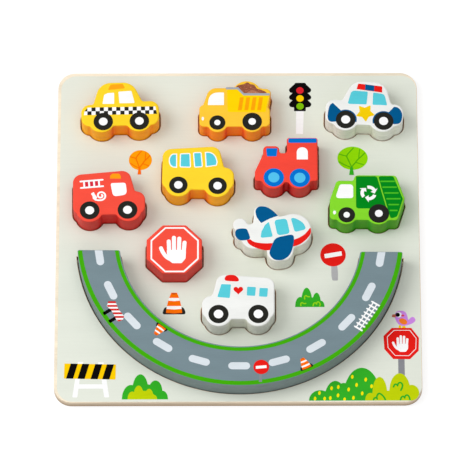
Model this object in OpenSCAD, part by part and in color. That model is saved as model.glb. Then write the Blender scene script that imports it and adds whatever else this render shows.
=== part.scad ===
// Chunky wooden traffic puzzle: a two-layer board with a pocket for each loose piece.
// The pieces are thick enough to stand and stack, and the curved road lifts out to rock under them.
// Frame: origin at the middle of the board's underside, +X right, +Y to the back edge, +Z up.

/* [Board] */
// Width of the board, left to right
board_w = 300; // [270:1:400]
// Depth of the board, front to back
board_d = 300; // [270:1:400]
// Radius of the board's corners
board_corner_r = 14.5; // [4:0.5:30]
// Thickness of the solid backing board
backing_t = 3; // [2:0.5:6]
// Thickness of the tray panel that the pockets go through
tray_t = 5; // [3:0.5:10]

/* [All loose pieces] */
// Thickness of every loose piece
piece_t = 22; // [15:0.5:32]
// Gap between a piece and the wall of its pocket, on average all round
pocket_gap = 1; // [0.5:0.1:2]
// Gap in front of a piece, where it lies nearest to the wall
pocket_front_gap = 0.4; // [0.3:0.05:0.5]
// Radius of the inner corners along an outline
inner_r = 2.5; // [0.5:0.1:4]

/* [Taxi and police car] */
// Length over the bumpers
car_length = 64.7; // [56:0.1:74]
// Height of the roof above the ground line
car_roof_h = 46; // [40:0.1:53]
// Height of the bonnet above the ground line
car_bonnet_h = 28.6; // [23:0.1:34]
// Height of the boot above the ground line
car_boot_h = 25.6; // [21:0.1:31]
// Height of the floor between the wheel arches
car_floor_h = 5.7; // [3:0.1:8]
// Length of the cabin at its foot
car_cabin_l = 40.8; // [34:0.1:47]
// Distance from the middle of the car back to the middle of the cabin
car_cabin_back = 1.9; // [0:0.1:5]
// Distance that the windscreen leans back
car_windscreen_lean = 8.2; // [3:0.1:12]
// Distance that the rear window leans forward
car_rear_lean = 5.9; // [2:0.1:9]
// Radius of the roof's corners
car_roof_r = 12; // [6:0.1:13]
// Radius of the corners at the bumpers
car_end_r = 7.5; // [3:0.1:8.5]
// Distance between the axles
car_wheelbase = 31; // [25:0.1:37]
// Radius of the wheel arches
car_arch_r = 11.2; // [9:0.1:13]
// Place of the taxi's middle, as shares of the board's width and depth from its middle
taxi_place = [-0.326, 0.367]; // [-0.5:0.001:0.5]
// Turn of the taxi on the board, in degrees
taxi_tilt = 1.5; // [-12:0.1:12]
// Place of the police car's middle, as shares of the board's width and depth
police_place = [0.352, 0.368]; // [-0.5:0.001:0.5]
// Turn of the police car on the board, in degrees
police_tilt = -2.7; // [-12:0.1:12]

/* [School bus, fire engine and ambulance] */
// Length from the bonnet to the rear wall
van_length = 59.5; // [52:0.1:68]
// Height of the roof over the windscreen
van_front_roof_h = 46.9; // [41:0.1:53]
// Height of the roof at the rear wall
van_rear_roof_h = 43.2; // [38:0.1:50]
// Height of the bonnet above the ground line
van_bonnet_h = 27.4; // [23:0.1:32]
// Height of the floor between the wheel arches
van_floor_h = 6.4; // [3:0.1:9]
// Distance from the middle of the van to the foot of the windscreen
van_windscreen_x = 21.4; // [18:0.1:24]
// Distance that the windscreen leans back
van_windscreen_lean = 4.8; // [2:0.1:9]
// Radius of the roof's corners
van_roof_r = 7.5; // [3:0.1:12]
// Radius of the corners at the bonnet and bumpers
van_end_r = 7.5; // [3:0.1:9]
// Distance between the axles
van_wheelbase = 32; // [27:0.1:36]
// Radius of the wheel arches
van_arch_r = 11.2; // [9:0.1:13]
// Place of the school bus, as shares of the board's width and depth
bus_place = [-0.109, 0.169]; // [-0.5:0.001:0.5]
// Turn of the school bus on the board, in degrees
bus_tilt = -1.2; // [-12:0.1:12]
// Place of the fire engine, as shares of the board's width and depth
fire_place = [-0.354, 0.094]; // [-0.5:0.001:0.5]
// Turn of the fire engine on the board, in degrees
fire_tilt = 0.9; // [-12:0.1:12]
// Place of the ambulance, as shares of the board's width and depth
ambulance_place = [0.001, -0.221]; // [-0.5:0.001:0.5]
// Turn of the ambulance on the board, in degrees
ambulance_tilt = 0; // [-12:0.1:12]

/* [Dump truck] */
// Length from the nose to the tailgate
dump_length = 60.2; // [54:0.1:68]
// Height of the nose ahead of the windscreen
dump_nose_h = 25.5; // [21:0.1:30]
// Depth of the ledge between the nose and the windscreen
dump_ledge = 3.3; // [2:0.1:7]
// Distance that the windscreen leans back
dump_windscreen_lean = 5; // [1:0.1:8]
// Height of the cab roof above the ground line
dump_cab_h = 41.2; // [36:0.1:46]
// Length of the cab from the nose to the load box
dump_cab_l = 21; // [18:0.1:26]
// Height of the load box at the cab
dump_box_h = 42.6; // [38:0.1:48]
// Height of the load box at the tailgate
dump_tail_h = 40; // [35:0.1:45]
// Distance that the tailgate leans in at its foot
dump_tail_lean = 2.7; // [0:0.1:5]
// Height of the tailgate's foot above the ground line
dump_tail_foot_h = 23.5; // [18:0.1:28]
// Height of the top of the heaped load
dump_heap_h = 47.6; // [43:0.1:54]
// Radius of the heaped load
dump_heap_r = 12; // [9:0.1:15]
// Distance from the middle of the truck back to the middle of the heap
dump_heap_x = 9.4; // [6:0.1:12]
// Height of the floor between the wheel arches
dump_floor_h = 5.1; // [2:0.1:8]
// Radius of the cab roof's front corner
dump_cab_r = 8; // [2:0.1:9]
// Radius of the other outer corners
dump_corner_r = 4; // [1:0.1:5]
// Radius of the front wheel arch
dump_front_arch_r = 8.5; // [6:0.1:10]
// Distance from the middle of the truck forward to the front axle
dump_front_axle = 14.9; // [12:0.1:18]
// Radius of the rear wheel arch
dump_rear_arch_r = 9.4; // [7:0.1:11]
// Distance from the middle of the truck back to the rear axle
dump_rear_axle = 13.9; // [11:0.1:17]
// Place of the dump truck, as shares of the board's width and depth
dump_place = [-0.006, 0.368]; // [-0.5:0.001:0.5]

/* [Recycling truck] */
// Length from the nose to the hopper
recycling_length = 61.9; // [54:0.1:70]
// Height at which the windscreen starts
recycling_nose_h = 22; // [18:0.1:26]
// Distance that the windscreen leans back
recycling_windscreen_lean = 5.6; // [3:0.1:9]
// Height of the cab roof above the ground line
recycling_cab_h = 39.9; // [34:0.1:43]
// Length of the cab from the nose to the box
recycling_cab_l = 20; // [16:0.1:24]
// Height of the box above the ground line
recycling_box_h = 45.1; // [42:0.1:52]
// Distance from the middle of the truck to the top of the hopper
recycling_hopper_top = 23.8; // [18:0.1:25]
// Height of the hopper's rearmost point
recycling_hopper_h = 24; // [17:0.1:26]
// Distance from the middle of the truck to the foot of the hopper
recycling_hopper_foot = 25; // [21:0.1:28]
// Height of the floor between the wheel arches
recycling_floor_h = 4; // [2:0.1:6]
// Radius of the outer corners
recycling_corner_r = 3.5; // [1:0.1:5]
// Radius of the front wheel arch
recycling_front_arch_r = 9.4; // [7:0.1:11]
// Distance from the middle of the truck forward to the front axle
recycling_front_axle = 17.3; // [14:0.1:20]
// Radius of the rear wheel arch
recycling_rear_arch_r = 10.4; // [8:0.1:12]
// Distance from the middle of the truck back to the rear axle
recycling_rear_axle = 9.2; // [6:0.1:12]
// Place of the recycling truck, as shares of the board's width and depth
recycling_place = [0.356, 0.081]; // [-0.5:0.001:0.5]
// Turn of the recycling truck on the board, in degrees
recycling_tilt = -0.7; // [-12:0.1:12]

/* [Steam train] */
// Length from the buffer to the cab's rear wall
train_length = 52.1; // [46:0.1:59]
// Height of the boiler above the ground line
train_boiler_h = 32.8; // [28:0.1:37]
// Height at which the boiler's front starts to lean back
train_nose_h = 16; // [12:0.1:20]
// Distance that the boiler's front leans back
train_nose_lean = 7.2; // [2:0.1:9]
// Radius of the buffer's corners
train_nose_r = 2.5; // [1:0.1:4]
// Height of the chimney above the ground line
train_chimney_h = 39.4; // [36:0.1:45]
// Width of the chimney
train_chimney_w = 13.4; // [10:0.1:16]
// Distance from the buffer to the chimney
train_chimney_x = 6.9; // [6:0.1:9]
// Radius of the chimney's top corners
train_chimney_r = 3.5; // [1:0.1:4.5]
// Height of the cab above the ground line
train_cab_h = 46.9; // [42:0.1:53]
// Length of the cab
train_cab_l = 25.5; // [22:0.1:28]
// Radius of the cab's corners
train_cab_r = 2; // [1:0.1:5]
// Height of the floor between the wheel arches
train_floor_h = 7.2; // [4:0.1:10]
// Distance between the axles
train_wheelbase = 21.4; // [20:0.1:25]
// Radius of the wheel arches
train_arch_r = 10.1; // [8:0.1:12]
// Place of the steam train, as shares of the board's width and depth
train_place = [0.134, 0.193]; // [-0.5:0.001:0.5]

/* [Octagonal sign] */
// Width of the sign across its flats
sign_w = 45.6; // [38:0.1:52]
// Height of the sign across its flats
sign_h = 43.8; // [38:0.1:52]
// Length that each slanted side takes off the width and the height
sign_chamfer = 13.2; // [10:0.1:16]
// Radius of the sign's corners
sign_r = 2; // [0.5:0.1:6]
// Place of the sign, as shares of the board's width and depth
sign_place = [-0.174, -0.068]; // [-0.5:0.001:0.5]

/* [Airplane] */
// Radius of the nose
plane_nose_r = 15; // [12:0.1:18]
// Radius of the fuselage at the tail
plane_tail_r = 11.5; // [9:0.1:14]
// Distance from the nose's centre to the tail's centre
plane_body_l = 32.4; // [28:0.1:37]
// Radius of the fin and of the tailplane
plane_fin_r = 6; // [4:0.1:8]
// Distance from the middle of the fuselage back to the fin
plane_fin_back = 26.2; // [23:0.1:29]
// Distance from the fuselage's axis up to the fin's centre
plane_fin_up = 12.1; // [9:0.1:14]
// Distance from the fuselage's axis up to the tailplane's centre
plane_tailplane_up = 3.6; // [1:0.1:6]
// Length of the far wing where it meets the fuselage's axis
plane_far_root = 37; // [30:0.1:42]
// Length of the far wing at its tip
plane_far_tip = 9.6; // [9:0.1:14]
// Distance that the far wing's tip is swept back
plane_far_sweep = 7; // [3:0.1:11]
// Distance from the fuselage's axis to the far wing's tip
plane_far_reach = 26.2; // [22:0.1:31]
// Length of the near wing where it meets the fuselage's axis
plane_near_root = 26; // [21:0.1:31]
// Length of the near wing at its tip
plane_near_tip = 21; // [16:0.1:26]
// Distance from the middle of the fuselage forward to the near wing's root
plane_near_forward = 6.8; // [2:0.1:10]
// Distance that the near wing's tip is swept back
plane_near_sweep = 6.6; // [2:0.1:10]
// Distance from the fuselage's axis to the near wing's tip
plane_near_reach = 25.6; // [22:0.1:31]
// Radius of the far wing's tip corners
plane_far_r = 4.5; // [2:0.1:5]
// Radius of the near wing's tip corners
plane_near_r = 9; // [2:0.1:10]
// Place of the airplane's middle, as shares of the board's width and depth
plane_place = [0.099, -0.02]; // [-0.5:0.001:0.5]
// Turn of the airplane on the board, in degrees
plane_tilt = 9.5; // [-20:0.1:20]

/* [Road] */
// Width of the road
road_w = 34.6; // [28:0.1:42]
// Distance from the road's outer edge to the board's side, on average
road_side_gap = 15.8; // [10:0.1:22]
// Distance from the road's outer edge to the board's front edge
road_front_gap = 7.6; // [4:0.1:14]
// Distance from the middle of the board right to the middle of the road
road_shift = 1.9; // [0:0.1:5]
// Distance that the road's ends lie in front of the centre of its bend
road_end_drop = 14; // [6:0.1:25]
// Turn of the road on the board, in degrees
road_tilt = -0.5; // [-8:0.1:8]

/* [Hidden] */
$fn = 48;
road_outer_r = board_w / 2 - road_side_gap;
road_inner_r = road_outer_r - road_w;
road_y = road_outer_r + road_front_gap - board_d / 2;

// Rounds the outer corners of a shape
module rounded(r) {
    offset(r = r) offset(delta = -r) children();
}

// Fills the inner corners of a shape with fillets
module filleted(r) {
    offset(r = -r) offset(delta = r) children();
}

// A wheel arch that touches the ground line
module wheel_arch(x, r) {
    translate([x, r]) circle(r);
}

// Moves an outline from its ground line to its place on the board
module placed(place, tilt, height) {
    translate([place.x * board_w, place.y * board_d])
        rotate(tilt)
            translate([0, -height / 2])
                children();
}

// Car outline, facing +X
module car_outline() {
    front = car_length / 2;
    cabin_front = car_cabin_l / 2 - car_cabin_back;
    cabin_rear = -car_cabin_l / 2 - car_cabin_back;
    filleted(inner_r) {
        rounded(car_end_r) polygon([
            [-front, car_floor_h], [front, car_floor_h], [front, car_bonnet_h], [-front, car_boot_h]
        ]);
        rounded(car_roof_r) polygon([
            [cabin_rear, car_floor_h],
            [cabin_front, car_floor_h],
            [cabin_front, car_bonnet_h],
            [cabin_front - car_windscreen_lean, car_roof_h],
            [cabin_rear + car_rear_lean, car_roof_h],
            [cabin_rear, car_boot_h]
        ]);
        for (side = [-1, 1]) wheel_arch(side * car_wheelbase / 2, car_arch_r);
    }
}

// Van outline with a bonnet and a roof that falls to the rear, facing +X
module van_outline() {
    front = van_length / 2;
    filleted(inner_r) {
        rounded(van_end_r) polygon([
            [-front, van_floor_h], [front, van_floor_h], [front, van_bonnet_h], [-front, van_bonnet_h]
        ]);
        rounded(van_roof_r) polygon([
            [-front, van_floor_h],
            [van_windscreen_x, van_floor_h],
            [van_windscreen_x, van_bonnet_h],
            [van_windscreen_x - van_windscreen_lean, van_front_roof_h],
            [-front, van_rear_roof_h]
        ]);
        for (side = [-1, 1]) wheel_arch(side * van_wheelbase / 2, van_arch_r);
    }
}

// Dump truck outline, facing -X
module dump_outline() {
    nose = -dump_length / 2;
    tail = dump_length / 2;
    cab_end = nose + dump_cab_l;
    filleted(inner_r) {
        rounded(dump_corner_r) polygon([
            [nose, dump_floor_h], [tail - dump_tail_lean / 2, dump_floor_h],
            [tail - dump_tail_lean / 2, dump_tail_foot_h], [cab_end, dump_nose_h], [nose, dump_nose_h]
        ]);
        rounded(dump_cab_r) polygon([
            [nose + dump_ledge, dump_floor_h],
            [tail - dump_tail_lean, dump_floor_h],
            [tail - dump_tail_lean, dump_cab_h],
            [nose + dump_ledge + dump_windscreen_lean, dump_cab_h],
            [nose + dump_ledge, dump_nose_h]
        ]);
        rounded(dump_corner_r) polygon([
            [cab_end, dump_floor_h],
            [tail - dump_tail_lean, dump_floor_h],
            [tail - dump_tail_lean, dump_tail_foot_h],
            [tail, dump_tail_h],
            [cab_end, dump_box_h]
        ]);
        translate([dump_heap_x, dump_heap_h - dump_heap_r]) circle(dump_heap_r);
        wheel_arch(-dump_front_axle, dump_front_arch_r);
        wheel_arch(dump_rear_axle, dump_rear_arch_r);
    }
}

// Recycling truck outline, facing -X
module recycling_outline() {
    nose = -recycling_length / 2;
    filleted(inner_r) {
        rounded(recycling_corner_r) polygon([
            [nose, recycling_floor_h],
            [nose + recycling_cab_l + recycling_corner_r, recycling_floor_h],
            [nose + recycling_cab_l + recycling_corner_r, recycling_cab_h],
            [nose + recycling_windscreen_lean, recycling_cab_h],
            [nose, recycling_nose_h]
        ]);
        rounded(recycling_corner_r) polygon([
            [nose + recycling_cab_l, recycling_floor_h],
            [recycling_hopper_foot, recycling_floor_h],
            [recycling_length / 2, recycling_hopper_h],
            [recycling_hopper_top, recycling_box_h],
            [nose + recycling_cab_l, recycling_box_h]
        ]);
        wheel_arch(-recycling_front_axle, recycling_front_arch_r);
        wheel_arch(recycling_rear_axle, recycling_rear_arch_r);
    }
}

// Steam train outline, facing -X
module train_outline() {
    nose = -train_length / 2;
    rear = train_length / 2;
    chimney = nose + train_chimney_x;
    filleted(inner_r) {
        rounded(train_nose_r) polygon([
            [nose, train_floor_h], [rear, train_floor_h],
            [rear, train_boiler_h], [nose + train_nose_lean, train_boiler_h], [nose, train_nose_h]
        ]);
        rounded(train_chimney_r) polygon([
            [chimney, train_floor_h], [chimney + train_chimney_w, train_floor_h],
            [chimney + train_chimney_w, train_chimney_h], [chimney, train_chimney_h]
        ]);
        rounded(train_cab_r) polygon([
            [rear - train_cab_l, train_floor_h], [rear, train_floor_h],
            [rear, train_cab_h], [rear - train_cab_l, train_cab_h]
        ]);
        for (side = [-1, 1]) wheel_arch(side * train_wheelbase / 2, train_arch_r);
    }
}

// Sign outline: an octagon on a flat side
module sign_outline() {
    flat_x = sign_w / 2 - sign_chamfer;
    flat_y = sign_h / 2 - sign_chamfer;
    rounded(sign_r) polygon([
        [-flat_x, -sign_h / 2], [flat_x, -sign_h / 2],
        [sign_w / 2, -flat_y], [sign_w / 2, flat_y],
        [flat_x, sign_h / 2], [-flat_x, sign_h / 2],
        [-sign_w / 2, flat_y], [-sign_w / 2, -flat_y]
    ]);
}

// One wing: a tapered, swept plate from the fuselage's axis to the tip
module wing(root_x, root, tip, sweep, reach, r) {
    rounded(r) polygon([
        [root_x - root / 2, 0], [root_x + root / 2, 0],
        [root_x - sweep + tip / 2, reach], [root_x - sweep - tip / 2, reach]
    ]);
}

// Airplane outline, nose towards +X, with its middle at the origin
module plane_outline() {
    filleted(inner_r) {
        hull() {
            translate([plane_body_l / 2, 0]) circle(plane_nose_r);
            translate([-plane_body_l / 2, 0]) circle(plane_tail_r);
        }
        wing(0, plane_far_root, plane_far_tip, plane_far_sweep, plane_far_reach, plane_far_r);
        mirror([0, 1]) wing(
            plane_near_forward, plane_near_root, plane_near_tip,
            plane_near_sweep, plane_near_reach, plane_near_r
        );
        translate([-plane_fin_back, plane_fin_up]) circle(plane_fin_r);
        translate([-plane_fin_back, plane_tailplane_up]) circle(plane_fin_r);
    }
}

// Road outline: a bend of more than half a ring with level ends, grown by a gap
module road_outline(gap) {
    reach = 2 * road_outer_r;
    translate([road_shift, road_y])
        rotate(road_tilt)
            difference() {
                circle(road_outer_r + gap, $fn = 180);
                circle(road_inner_r - gap, $fn = 180);
                translate([-reach, gap - road_end_drop]) square([2 * reach, reach]);
            }
}

// Outlines of the pieces at their places on the board
module taxi_shape() {
    placed(taxi_place, taxi_tilt, car_roof_h) car_outline();
}

module police_car_shape() {
    placed(police_place, police_tilt, car_roof_h) mirror([1, 0]) car_outline();
}

module school_bus_shape() {
    placed(bus_place, bus_tilt, van_front_roof_h) van_outline();
}

module fire_engine_shape() {
    placed(fire_place, fire_tilt, van_front_roof_h) van_outline();
}

module ambulance_shape() {
    placed(ambulance_place, ambulance_tilt, van_front_roof_h) mirror([1, 0]) van_outline();
}

module dump_truck_shape() {
    placed(dump_place, 0, dump_heap_h) dump_outline();
}

module recycling_truck_shape() {
    placed(recycling_place, recycling_tilt, recycling_box_h) recycling_outline();
}

module steam_train_shape() {
    placed(train_place, 0, train_cab_h) train_outline();
}

module stop_sign_shape() {
    placed(sign_place, 0, 0) sign_outline();
}

module airplane_shape() {
    placed(plane_place, plane_tilt, 0) plane_outline();
}

// Board outline: a rectangle with round corners
module board_shape() {
    corner_x = board_w / 2 - board_corner_r;
    corner_y = board_d / 2 - board_corner_r;
    square([2 * corner_x, board_d], center = true);
    square([board_w, 2 * corner_y], center = true);
    for (x = [-corner_x, corner_x], y = [-corner_y, corner_y]) translate([x, y]) circle(board_corner_r);
}

// Windows through the tray panel, each wider than its piece by the gap and set back from it
module pocket_shapes() {
    translate([0, pocket_gap - pocket_front_gap]) {
        offset(delta = pocket_gap) taxi_shape();
        offset(delta = pocket_gap) dump_truck_shape();
        offset(delta = pocket_gap) police_car_shape();
        offset(delta = pocket_gap) fire_engine_shape();
        offset(delta = pocket_gap) school_bus_shape();
        offset(delta = pocket_gap) steam_train_shape();
        offset(delta = pocket_gap) recycling_truck_shape();
        offset(delta = pocket_gap) stop_sign_shape();
        offset(delta = pocket_gap) airplane_shape();
        offset(delta = pocket_gap) ambulance_shape();
        road_outline(pocket_gap);
    }
}

// A loose piece: a thick block that stands on the backing board inside its pocket
module loose_piece() {
    translate([0, 0, backing_t]) linear_extrude(piece_t) children();
}

module backing_board() {
    color("wheat") linear_extrude(backing_t) board_shape();
}

module tray_panel() {
    color("antiquewhite")
        translate([0, 0, backing_t])
            linear_extrude(tray_t)
                difference() {
                    board_shape();
                    pocket_shapes();
                }
}

module taxi() {
    color("gold") loose_piece() taxi_shape();
}

module dump_truck() {
    color("orange") loose_piece() dump_truck_shape();
}

module police_car() {
    color("whitesmoke") loose_piece() police_car_shape();
}

module fire_engine() {
    color("tomato") loose_piece() fire_engine_shape();
}

module school_bus() {
    color("gold") loose_piece() school_bus_shape();
}

module steam_train() {
    color("tomato") loose_piece() steam_train_shape();
}

module recycling_truck() {
    color("yellowgreen") loose_piece() recycling_truck_shape();
}

module stop_sign() {
    color("tomato") loose_piece() stop_sign_shape();
}

module airplane() {
    color("whitesmoke") loose_piece() airplane_shape();
}

module ambulance() {
    color("whitesmoke") loose_piece() ambulance_shape();
}

module road_arch() {
    color("lightslategray") loose_piece() road_outline(0);
}

backing_board();
tray_panel();
taxi();
dump_truck();
police_car();
fire_engine();
school_bus();
steam_train();
recycling_truck();
stop_sign();
airplane();
ambulance();
road_arch();
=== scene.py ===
import math

import bmesh
import bpy
from mathutils import Matrix, Vector
from mathutils.geometry import tessellate_polygon


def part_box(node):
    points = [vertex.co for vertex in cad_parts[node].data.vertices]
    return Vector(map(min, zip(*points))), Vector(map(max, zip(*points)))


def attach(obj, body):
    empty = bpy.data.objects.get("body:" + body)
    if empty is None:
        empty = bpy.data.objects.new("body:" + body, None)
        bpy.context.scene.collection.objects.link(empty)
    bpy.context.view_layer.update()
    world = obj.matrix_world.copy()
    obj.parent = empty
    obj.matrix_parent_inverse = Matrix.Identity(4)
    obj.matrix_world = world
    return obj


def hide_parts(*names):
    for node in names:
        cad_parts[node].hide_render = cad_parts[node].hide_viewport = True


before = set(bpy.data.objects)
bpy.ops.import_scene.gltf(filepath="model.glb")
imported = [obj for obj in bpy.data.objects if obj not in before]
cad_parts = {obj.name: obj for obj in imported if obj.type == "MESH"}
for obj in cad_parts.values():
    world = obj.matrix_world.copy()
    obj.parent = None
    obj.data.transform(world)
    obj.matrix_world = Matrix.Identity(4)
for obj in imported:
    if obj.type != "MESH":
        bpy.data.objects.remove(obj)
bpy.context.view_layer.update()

# Sizes are in millimetres and angles in degrees, unless a comment says otherwise.
MM = 0.001

# Board
BOARD_CORNER_R = 14.5
BOARD_EDGE_R = 0.5
CORNER_STEPS = 16
# Share of the board's rounded upper edge, from below, that still shows plies
LAYERED_EDGE = 0.5
# Bare wood left around the printed face
PRINT_MARGIN = {"left": 2.5, "right": 0.6, "front": 0.7, "back": 2.7}
PRINT_CORNER_R = 13.0
POCKET_EDGE_R = 0.25
POCKET_SCORCH = 0.12
# The lower wall of a block's pocket stands nearer to the block: how much, moved where, from what depth
LEDGE_REACH = 0.6
LEDGE_MOVE = (0.22, -0.6)
LEDGE_DEPTH = 0.9
PLY_T = 1.0

# Loose blocks
TOP_EDGE_R = 1.3
FOOT_EDGE_R = 0.7
EDGE_STEPS = 6
# Share of the rounded top edge, from below, that the stain still covers
STAINED_EDGE = 0.35
# Painted shade and bounce tint in a block's hollows: reach of a facing wall, tone where it is deepest, and
# how pure it gets
HOLLOW_SHADE_REACH = 20.0
HOLLOW_SHADE_TONE = 0.35
HOLLOW_SHADE_PURITY = 0.9

# Curved road: the direction of its front is an angle about the bend's centre
ROAD_CENTRE = (1.9, -8.2)
ROAD_OUTER_R = 134.2
ROAD_INNER_R = 99.6
ROAD_END_DROP = 14.0
ROAD_FRONT = -90.5
ROAD_ARC_STEP = 1.5
ROAD_EDGE_R = 0.4
ROAD_CORNER_R = 1.8
# Green verges: width, and distance from the road's edge
INNER_VERGE = (3.1, 1.0)
OUTER_VERGE = (3.6, 0.3)
DASH_L = 17.8
DASH_W = 6.3
DASH_PITCH = 16.13
DASH_SHIFT = -0.5
# Dashes on each side of the middle one
SIDE_DASHES = 5

# Ink plates: height of the first layer, of each layer above it, and depth below the face
INK_T = 0.05
INK_LAYER = 0.035
INK_SINK = 0.06

# Drawing: steps round a circle, limits for corners, and how flat a face of the solid has to be
DISC_STEPS = 56
CORNER_SHARE = 0.98
MITRE_LIMIT = 0.4
FLAT_LIMIT = 0.01
# Edges sharper than this angle aren't shaded smooth
SHARP_ANGLE = 38

# Range that most of a noise value lies in, and strength of the fine relief
NOISE_RANGE = (0.3, 0.7)
RELIEF_STRENGTH = 0.6

# Camera, fitted to the board's edges in a square frame
CAMERA_LENS = 375.48
CAMERA_SENSOR = 36.0
CAMERA_TARGET = (-0.287, -2.166, 8.0)
CAMERA_DISTANCE = 4088.85
CAMERA_ELEVATION = 64.914
CAMERA_YAW = -0.0115
CAMERA_ROLL = -0.123

# Light: strength of the white surroundings, and lamps as place (metres), size (metres) and power (watts)
AMBIENT = 0.58
LAMPS = {
    "key_lamp": ((-1.6, 0.1, 1.6), 1.6, 26.0),
    "front_lamp": ((0.2, -1.9, 1.1), 1.8, 6.0),
    "top_lamp": ((0.0, 0.0, 0.5), 0.3, 0.3),
}
# Floor: side and depth below the board (metres), paper and glow as seen, and tone for bounced light
FLOOR_SIZE = 14.0
FLOOR_DROP = 0.0002
FLOOR_DIFFUSE = 0.36
FLOOR_GLOW = 0.74
FLOOR_BOUNCE = 0.8

# Ink colours, as screen values from 0 to 255
INKS = {
    "taxi_yellow": (255, 214, 44),
    "bus_yellow": (253, 214, 48),
    "amber": (255, 200, 58),
    "red": (244, 81, 64),
    "train_red": (244, 74, 59),
    "lime_green": (132, 215, 46),
    "white_wood": (239, 240, 237),
    "road_grey": (120, 139, 146),
    "white": (252, 252, 252),
    "pure_white": (255, 255, 255),
    "black": (38, 38, 34),
    "jet": (10, 7, 8),
    "cyan": (88, 205, 219),
    "orange": (255, 156, 20),
    "light_orange": (250, 165, 25),
    "deep_orange": (255, 112, 4),
    "box_yellow": (255, 211, 4),
    "stripe_orange": (253, 165, 10),
    "rim_grey": (165, 170, 180),
    "signal_red": (232, 30, 24),
    "dark_red": (214, 40, 60),
    "navy": (1, 88, 141),
    "star_yellow": (246, 206, 8),
    "train_blue": (2, 113, 207),
    "sky_blue": (82, 191, 234),
    "dark_green": (1, 134, 27),
    "leaf_line": (76, 190, 36),
    "verge_green": (66, 170, 10),
    "dash_white": (218, 226, 232),
    "road_post": (134, 141, 146),
    "post_grey": (138, 139, 145),
    "pale_post": (180, 179, 181),
    "tree_orange": (252, 162, 8),
    "orange_twig": (244, 120, 2),
    "tree_green": (146, 220, 6),
    "green_twig": (90, 182, 12),
    "trunk_green": (52, 176, 36),
    "bush_green": (52, 176, 40),
    "leaf_curl": (150, 214, 28),
    "bush_lime": (194, 211, 8),
    "dot_yellow": (255, 236, 10),
    "barrier_yellow": (254, 204, 0),
    "lamp_red": (222, 36, 48),
    "lamp_yellow": (252, 206, 0),
    "lamp_green": (124, 192, 8),
    "lilac": (212, 142, 234),
    "pink": (226, 78, 104),
    "beak": (196, 104, 84),
    "wing_orange": (255, 132, 44),
    "barrier_red": (212, 36, 34),
    "cone_tip": (206, 84, 12),
}
SOILS = {
    "soil": (146, 84, 60),
    "pale_soil": (178, 116, 88),
}
# Stains of the blocks' sides, by slot
STAINS = {
    "yellow": (253, 172, 24),
    "amber": (254, 150, 26),
    "red": (210, 62, 54),
    "green": (88, 164, 36),
    "white": (230, 230, 220),
    "road_grey": (119, 134, 133),
}
TRAY_PRINT = (227, 231, 219)
BIRCH = (247, 234, 210)
SCORCH = (218, 190, 160)
# Scorch of the lower pocket walls, darkened further as painted shade for the deep gaps
SHADED_DEEP_SCORCH = (138, 92, 66)


# Flat shapes: lists of (x, y) points


def turned(points, angle, about=(0, 0)):
    """The points turned about a centre."""
    c = math.cos(math.radians(angle))
    s = math.sin(math.radians(angle))
    ax, ay = about
    return [(ax + (x - ax) * c - (y - ay) * s, ay + (x - ax) * s + (y - ay) * c) for x, y in points]


def moved(points, dx, dy):
    """The points shifted."""
    return [(x + dx, y + dy) for x, y in points]


def scaled(points, kx, ky=None):
    """The points stretched from the origin, by one factor or by one for each direction."""
    return [(x * kx, y * (kx if ky is None else ky)) for x, y in points]


def polar(cx, cy, radius, angle):
    """A point at an angle on a circle."""
    a = math.radians(angle)
    return (cx + radius * math.cos(a), cy + radius * math.sin(a))


def arc(cx, cy, radius, start, end, steps=24):
    """Points along a circular arc."""
    return [polar(cx, cy, radius, start + (end - start) * k / steps) for k in range(steps + 1)]


def ellipse(cx, cy, rx, ry, turn=0):
    """A closed ellipse."""
    circle = arc(0, 0, 1, 0, 360, DISC_STEPS)[:-1]
    return turned(moved(scaled(circle, rx, ry), cx, cy), turn, (cx, cy))


def disc(cx, cy, radius):
    """A closed circle."""
    return ellipse(cx, cy, radius, radius)


def rectangle(x0, y0, x1, y1):
    """An upright rectangle from its lower left to its upper right corner."""
    return [(x0, y0), (x1, y0), (x1, y1), (x0, y1)]


def rounded_box(x0, y0, x1, y1, radius):
    """A rectangle with true round corners, with the same number of points at any size."""
    centres = rectangle(x0 + radius, y0 + radius, x1 - radius, y1 - radius)
    points = []
    for k, (cx, cy) in enumerate(centres[1:] + centres[:1]):
        points += arc(cx, cy, radius, 90 * (k - 1), 90 * k, CORNER_STEPS)
    return points


def octagon(cx, cy, width, height, chamfer):
    """An upright rectangle with its corners cut off."""
    x = width / 2
    y = height / 2
    half = [(x, chamfer - y), (x, y - chamfer), (x - chamfer, y), (chamfer - x, y)]
    return moved(half + scaled(half, -1), cx, cy)


def ring_part(cx, cy, inner, outer, start, end, steps=40):
    """Part of a flat ring."""
    return arc(cx, cy, outer, start, end, steps) + arc(cx, cy, inner, end, start, steps)


def star(cx, cy, outer, inner, first, tips=5):
    """A star whose first tip points at an angle."""
    points = []
    for k in range(tips):
        points.append(polar(cx, cy, outer, first + 360 * k / tips))
        points.append(polar(cx, cy, inner, first + 360 * (k + 0.5) / tips))
    return points


def heart(cx, cy, width):
    """A heart drawn by the classic sum of cosines, which is 32 units wide."""
    points = []
    for k in range(DISC_STEPS):
        t = 2 * math.pi * k / DISC_STEPS
        x = 16 * math.sin(t) ** 3
        y = 13 * math.cos(t) - 5 * math.cos(2 * t) - 2 * math.cos(3 * t) - math.cos(4 * t)
        points.append((cx - x * width / 32, cy + y * width / 32))
    return points


def bend(start, corner, end, steps=8):
    """Points along a curve that leaves its start and meets its end in line with a corner."""
    a, b, c = Vector(start), Vector(corner), Vector(end)
    shares = [k / steps for k in range(steps + 1)]
    return [tuple(a * (1 - t) ** 2 + b * 2 * t * (1 - t) + c * t ** 2) for t in shares]


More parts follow.
